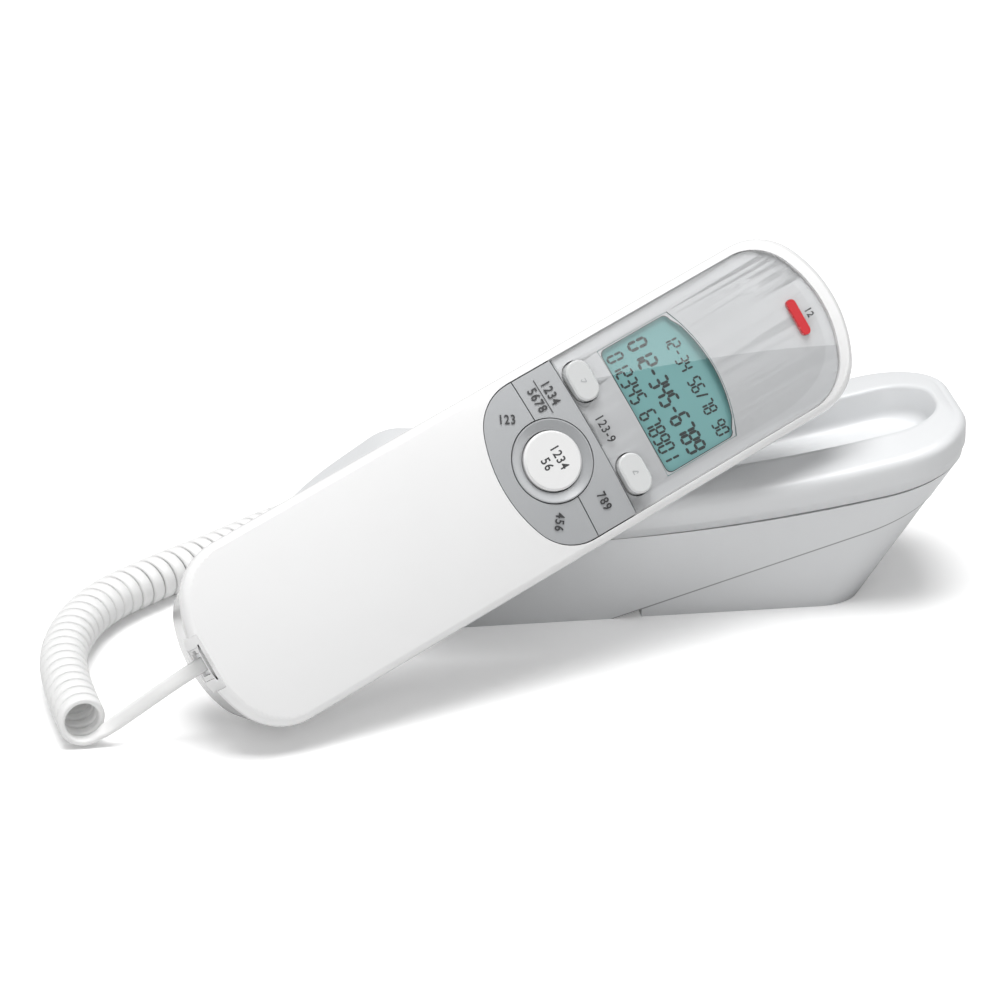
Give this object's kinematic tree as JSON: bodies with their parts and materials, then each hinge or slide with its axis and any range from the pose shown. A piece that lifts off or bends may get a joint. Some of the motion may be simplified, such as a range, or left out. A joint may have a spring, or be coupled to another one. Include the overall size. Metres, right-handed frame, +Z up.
{
  "type": "corded telephone",
  "caption": "Slim one-piece corded telephone: a handset with a display, keys and inner dial pad leans on its cradle base, joined by a coiled cord; rests on a table or hangs on two wall studs",
  "frame": {"origin": "On the table plane under the base, on its middle line, half way between the two wall stud keyholes", "axes": "+Z up, +X along the base to its raised earpiece end, -Y towards the side on which the handset leans"},
  "size_m": [0.2837, 0.1822, 0.1114],
  "materials": {
    "white_shell": "glossy moulded white ABS",
    "base_shell": "glossy moulded white ABS, lightly grained inside",
    "key_silver": "satin silver painted plastic",
    "key_white": "glossy white plastic",
    "clear_lens": "clear moulded window",
    "panel_silver": "silver printed sheet",
    "display_glass": "grey green liquid crystal panel",
    "red_lamp": "clear red plastic",
    "board": "green solder mask",
    "dark_rubber": "soft matt rubber",
    "grey_rubber": "silicone key mat",
    "dark_plastic": "moulded black nylon",
    "steel": "zinc plated",
    "clear_plug": "clear polycarbonate",
    "cord_white": "satin soft vinyl"
  },
  "bodies": {
    "base": {"cradle_cover": "base_shell", "base_housing": "base_shell", "wall_bracket": "base_shell", "cord_jack": "dark_plastic", "line_jack": "dark_plastic", "hook_switch": "dark_plastic", "base_circuit_board": "board", "ringer_sounder": "dark_plastic", "base_weight": "steel", "base_screws": "steel", "rubber_feet": "dark_rubber", "base_plug": "clear_plug", "cord_base_tail": "cord_white", "cord_coil": "cord_white", "cord_handset_tail": "cord_white"},
    "handset": {"outer_shell": "white_shell", "inner_shell": "white_shell", "display_lens": "clear_lens", "display_mask": "panel_silver", "display_module": "display_glass", "in_use_lamp": "red_lamp", "key_frame": "key_silver", "panel_key_mat": "grey_rubber", "display_board": "board", "main_board": "board", "dial_key_mat": "grey_rubber", "receiver_capsule": "dark_plastic", "microphone": "steel", "handset_jack": "dark_plastic", "handset_screws": "steel", "handset_plug": "clear_plug"},
    "hook_plunger": {"hook_plunger": "key_white"},
    "ringer_slide": {"ringer_slide": "key_white"},
    "round_key": {"round_key": "key_white"},
    "upper_rocker_key": {"upper_rocker_key": "key_silver"},
    "lower_rocker_key": {"lower_rocker_key": "key_silver"},
    "scroll_up_key": {"scroll_up_key": "key_white"},
    "scroll_down_key": {"scroll_down_key": "key_white"},
    "redial_key": {"redial_key": "key_white"},
    "mute_key": {"mute_key": "key_white"},
    "dial_key_1": {"dial_key_1": "key_white"},
    "dial_key_2": {"dial_key_2": "key_white"},
    "dial_key_3": {"dial_key_3": "key_white"},
    "dial_key_4": {"dial_key_4": "key_white"},
    "dial_key_5": {"dial_key_5": "key_white"},
    "dial_key_6": {"dial_key_6": "key_white"},
    "dial_key_7": {"dial_key_7": "key_white"},
    "dial_key_8": {"dial_key_8": "key_white"},
    "dial_key_9": {"dial_key_9": "key_white"},
    "dial_key_star": {"dial_key_star": "key_white"},
    "dial_key_0": {"dial_key_0": "key_white"},
    "dial_key_hash": {"dial_key_hash": "key_white"}
  },
  "joints": [
    {"name": "handset_lift", "type": "slide", "parent": "base", "child": "handset", "axis": [0, 0, 1], "range_m": [0, 0.08], "deforming": ["cord_handset_tail"]},
    {"name": "hook_press", "type": "slide", "parent": "base", "child": "hook_plunger", "axis": [0, 0, -1], "range_m": [0, 0.0035], "stiffness_N_per_m": 150, "springref_m": -0.002},
    {"name": "ringer_slide_move", "type": "slide", "parent": "base", "child": "ringer_slide", "axis": [1, 0, 0], "range_m": [-0.002, 0.002]},
    {"name": "round_key_press", "type": "slide", "parent": "handset", "child": "round_key", "axis": [-0.2108, 0.8356, -0.5072], "range_m": [0, 0.001], "stiffness_N_per_m": 400, "springref_m": -0.001},
    {"name": "scroll_up_key_press", "type": "slide", "parent": "handset", "child": "scroll_up_key", "axis": [-0.2108, 0.8356, -0.5072], "range_m": [0, 0.0008], "stiffness_N_per_m": 400, "springref_m": -0.001},
    {"name": "scroll_down_key_press", "type": "slide", "parent": "handset", "child": "scroll_down_key", "axis": [-0.2108, 0.8356, -0.5072], "range_m": [0, 0.0008], "stiffness_N_per_m": 400, "springref_m": -0.001},
    {"name": "upper_rocker_key_rock", "type": "hinge", "parent": "handset", "child": "upper_rocker_key", "pos_m": [-0.00273, -0.04976, 0.06575], "axis": [0.8692, 0.3977, 0.2939], "range_deg": [-2, 2], "stiffness_Nm_per_rad": 0.3},
    {"name": "lower_rocker_key_rock", "type": "hinge", "parent": "handset", "child": "lower_rocker_key", "pos_m": [-0.01733, -0.05644, 0.06082], "axis": [0.8692, 0.3977, 0.2939], "range_deg": [-2, 2], "stiffness_Nm_per_rad": 0.3},
    {"name": "dial_key_1_press", "type": "slide", "parent": "handset", "child": "dial_key_1", "axis": [0.2108, -0.8356, 0.5072], "range_m": [0, 0.001], "stiffness_N_per_m": 400, "springref_m": -0.001},
    {"name": "dial_key_2_press", "type": "slide", "parent": "handset", "child": "dial_key_2", "axis": [0.2108, -0.8356, 0.5072], "range_m": [0, 0.001], "stiffness_N_per_m": 400, "springref_m": -0.001},
    {"name": "dial_key_3_press", "type": "slide", "parent": "handset", "child": "dial_key_3", "axis": [0.2108, -0.8356, 0.5072], "range_m": [0, 0.001], "stiffness_N_per_m": 400, "springref_m": -0.001},
    {"name": "dial_key_4_press", "type": "slide", "parent": "handset", "child": "dial_key_4", "axis": [0.2108, -0.8356, 0.5072], "range_m": [0, 0.001], "stiffness_N_per_m": 400, "springref_m": -0.001},
    {"name": "dial_key_5_press", "type": "slide", "parent": "handset", "child": "dial_key_5", "axis": [0.2108, -0.8356, 0.5072], "range_m": [0, 0.001], "stiffness_N_per_m": 400, "springref_m": -0.001},
    {"name": "dial_key_6_press", "type": "slide", "parent": "handset", "child": "dial_key_6", "axis": [0.2108, -0.8356, 0.5072], "range_m": [0, 0.001], "stiffness_N_per_m": 400, "springref_m": -0.001},
    {"name": "dial_key_7_press", "type": "slide", "parent": "handset", "child": "dial_key_7", "axis": [0.2108, -0.8356, 0.5072], "range_m": [0, 0.001], "stiffness_N_per_m": 400, "springref_m": -0.001},
    {"name": "dial_key_8_press", "type": "slide", "parent": "handset", "child": "dial_key_8", "axis": [0.2108, -0.8356, 0.5072], "range_m": [0, 0.001], "stiffness_N_per_m": 400, "springref_m": -0.001},
    {"name": "dial_key_9_press", "type": "slide", "parent": "handset", "child": "dial_key_9", "axis": [0.2108, -0.8356, 0.5072], "range_m": [0, 0.001], "stiffness_N_per_m": 400, "springref_m": -0.001},
    {"name": "dial_key_star_press", "type": "slide", "parent": "handset", "child": "dial_key_star", "axis": [0.2108, -0.8356, 0.5072], "range_m": [0, 0.001], "stiffness_N_per_m": 400, "springref_m": -0.001},
    {"name": "dial_key_0_press", "type": "slide", "parent": "handset", "child": "dial_key_0", "axis": [0.2108, -0.8356, 0.5072], "range_m": [0, 0.001], "stiffness_N_per_m": 400, "springref_m": -0.001},
    {"name": "dial_key_hash_press", "type": "slide", "parent": "handset", "child": "dial_key_hash", "axis": [0.2108, -0.8356, 0.5072], "range_m": [0, 0.001], "stiffness_N_per_m": 400, "springref_m": -0.001},
    {"name": "redial_key_press", "type": "slide", "parent": "handset", "child": "redial_key", "axis": [0.2108, -0.8356, 0.5072], "range_m": [0, 0.001], "stiffness_N_per_m": 400, "springref_m": -0.001},
    {"name": "mute_key_press", "type": "slide", "parent": "handset", "child": "mute_key", "axis": [0.2108, -0.8356, 0.5072], "range_m": [0, 0.001], "stiffness_N_per_m": 400, "springref_m": -0.001}
  ]
}
